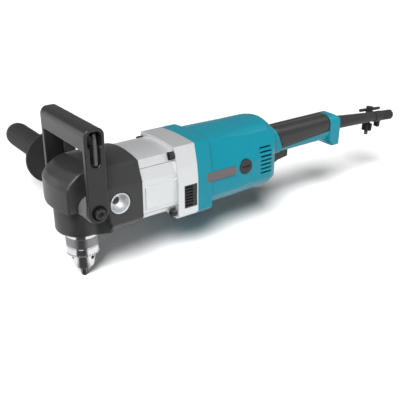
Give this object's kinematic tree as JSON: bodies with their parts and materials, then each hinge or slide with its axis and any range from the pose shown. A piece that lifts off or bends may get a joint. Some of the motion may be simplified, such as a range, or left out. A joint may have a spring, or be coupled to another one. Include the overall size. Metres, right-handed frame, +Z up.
{
  "type": "right angle drill",
  "caption": "Corded right angle drill: keyed chuck below a bevel gear head, swinging bail handle, long-stemmed side grip and a straight rear trigger handle.",
  "frame": {"origin": "mouth of the chuck, at the tips of the closed jaws, on the spindle axis", "axes": "+X back along the body to the cord guard, +Y towards the side grip, +Z up along the spindle away from the chuck's mouth"},
  "size_m": [0.5992, 0.3402, 0.207],
  "materials": {
    "black_cover": "moulded, fine grain",
    "cast_alloy": "fine cast, lightly blasted",
    "steel": "ground steel",
    "chuck_chrome": "plated",
    "black_steel": "black oxide",
    "copper": "wound copper and brass",
    "carbon": "pressed carbon",
    "teal_shell": "glass-filled nylon, satin",
    "soft_grip": "soft overmould",
    "bail_plastic": "moulded, satin",
    "trigger_plastic": "moulded",
    "side_grip_rubber": "ribbed rubber",
    "guard_rubber": "moulded rubber"
  },
  "bodies": {
    "housing": {"head_cover": "black_cover", "gear_head": "cast_alloy", "nose_ring": "steel", "spindle_bearing_upper": "steel", "spindle_bearing_lower": "steel", "pinion_bearing_front": "steel", "pinion_bearing_rear": "steel", "layshaft_bearings": "steel", "gear_housing": "cast_alloy", "head_screws": "black_steel", "housing_screws": "black_steel", "louvre_near": "black_cover", "louvre_far": "black_cover", "bearing_plate": "cast_alloy", "motor_bearing_front": "steel", "motor_bearing_rear": "steel", "stator_core": "steel", "field_coils": "copper", "baffle": "black_cover", "brush_holders": "copper", "carbon_brushes": "carbon", "brush_caps": "black_cover", "motor_housing": "teal_shell", "handle_near": "teal_shell", "handle_far": "teal_shell", "grip_near": "soft_grip", "grip_far": "soft_grip", "handle_screws": "black_steel", "switch_block": "black_cover", "cord_guard": "guard_rubber", "cord_clamp": "black_cover", "bail_bolts": "black_steel", "bail_washers": "black_steel", "side_grip_stem": "steel", "side_grip_disc": "side_grip_rubber", "side_grip": "side_grip_rubber", "key_holder": "guard_rubber"},
    "armature": {"armature_shaft": "steel", "armature_core": "steel", "commutator": "copper", "fan": "black_cover"},
    "layshaft": {"layshaft": "steel", "layshaft_gear": "steel"},
    "pinion": {"pinion_shaft": "steel", "driven_gear": "steel"},
    "spindle": {"spindle": "steel", "bevel_gear": "steel", "chuck_body": "chuck_chrome"},
    "sleeve": {"chuck_sleeve": "chuck_chrome"},
    "jaw_1": {"chuck_jaw_1": "chuck_chrome"},
    "jaw_2": {"chuck_jaw_2": "chuck_chrome"},
    "jaw_3": {"chuck_jaw_3": "chuck_chrome"},
    "bail": {"bail_handle": "bail_plastic"},
    "wrench": {"hex_wrench": "steel"},
    "trigger": {"trigger": "trigger_plastic"},
    "lock_button": {"lock_button": "trigger_plastic"},
    "reversing_lever": {"reversing_lever": "trigger_plastic"},
    "key": {"chuck_key": "black_steel"},
    "key_bar": {"key_bar": "chuck_chrome"}
  },
  "joints": [
    {"name": "armature_spin", "type": "hinge", "parent": "housing", "child": "armature", "pos_m": [0.18, 0, 0.108], "axis": [1, 0, 0], "continuous": true},
    {"name": "layshaft_spin", "type": "hinge", "parent": "housing", "child": "layshaft", "pos_m": [0.084, 0.01103, 0.1271], "axis": [1, 0, 0], "continuous": true},
    {"name": "pinion_spin", "type": "hinge", "parent": "housing", "child": "pinion", "pos_m": [0.06, 0, 0.108], "axis": [1, 0, 0], "continuous": true},
    {"name": "spindle_spin", "type": "hinge", "parent": "housing", "child": "spindle", "pos_m": [0, 0, 0.06], "axis": [0, 0, 1], "continuous": true},
    {"name": "sleeve_turn", "type": "hinge", "parent": "spindle", "child": "sleeve", "pos_m": [0, 0, 0.04], "axis": [0, 0, 1], "range_deg": [0, 5183]},
    {"name": "jaw_1_slide", "type": "slide", "parent": "spindle", "child": "jaw_1", "axis": [-0.0915, 0.2055, 0.9744], "range_m": [0, 0.0288]},
    {"name": "jaw_2_slide", "type": "slide", "parent": "spindle", "child": "jaw_2", "axis": [-0.1322, -0.182, 0.9744], "range_m": [0, 0.0288]},
    {"name": "jaw_3_slide", "type": "slide", "parent": "spindle", "child": "jaw_3", "axis": [0.2237, -0.0235, 0.9744], "range_m": [0, 0.0288]},
    {"name": "bail_swing", "type": "hinge", "parent": "housing", "child": "bail", "pos_m": [-0.003, 0, 0.1065], "axis": [0, 1, 0], "range_deg": [-30, 30]},
    {"name": "wrench_pull", "type": "slide", "parent": "bail", "child": "wrench", "axis": [0, -1, 0], "range_m": [0, 0.03]},
    {"name": "trigger_squeeze", "type": "slide", "parent": "housing", "child": "trigger", "axis": [0, 0, 1], "range_m": [0, 0.004], "stiffness_N_per_m": 600, "springref_m": -0.002},
    {"name": "lock_press", "type": "slide", "parent": "housing", "child": "lock_button", "axis": [0, -1, 0], "range_m": [0, 0.002], "stiffness_N_per_m": 600, "springref_m": -0.001},
    {"name": "reversing_turn", "type": "hinge", "parent": "housing", "child": "reversing_lever", "pos_m": [0.297, 0, 0.0945], "axis": [0, 0, 1], "range_deg": [-15, 15]},
    {"name": "key_lift", "type": "slide", "parent": "housing", "child": "key", "axis": [0.0802, 0, 0.9968], "range_m": [0, 0.006]},
    {"name": "key_bar_slide", "type": "slide", "parent": "key", "child": "key_bar", "axis": [0.9968, 0, -0.0802], "range_m": [-0.015, 0.015]}
  ],
  "couplings": [
    {"joint": "layshaft_spin", "follows": "armature_spin", "ratio": -0.225},
    {"joint": "pinion_spin", "follows": "armature_spin", "ratio": 0.09},
    {"joint": "spindle_spin", "follows": "armature_spin", "ratio": 0.03},
    {"joint": "jaw_1_slide", "follows": "sleeve_turn", "m_per_rad": 0.00031831},
    {"joint": "jaw_2_slide", "follows": "sleeve_turn", "m_per_rad": 0.00031831},
    {"joint": "jaw_3_slide", "follows": "sleeve_turn", "m_per_rad": 0.00031831}
  ]
}
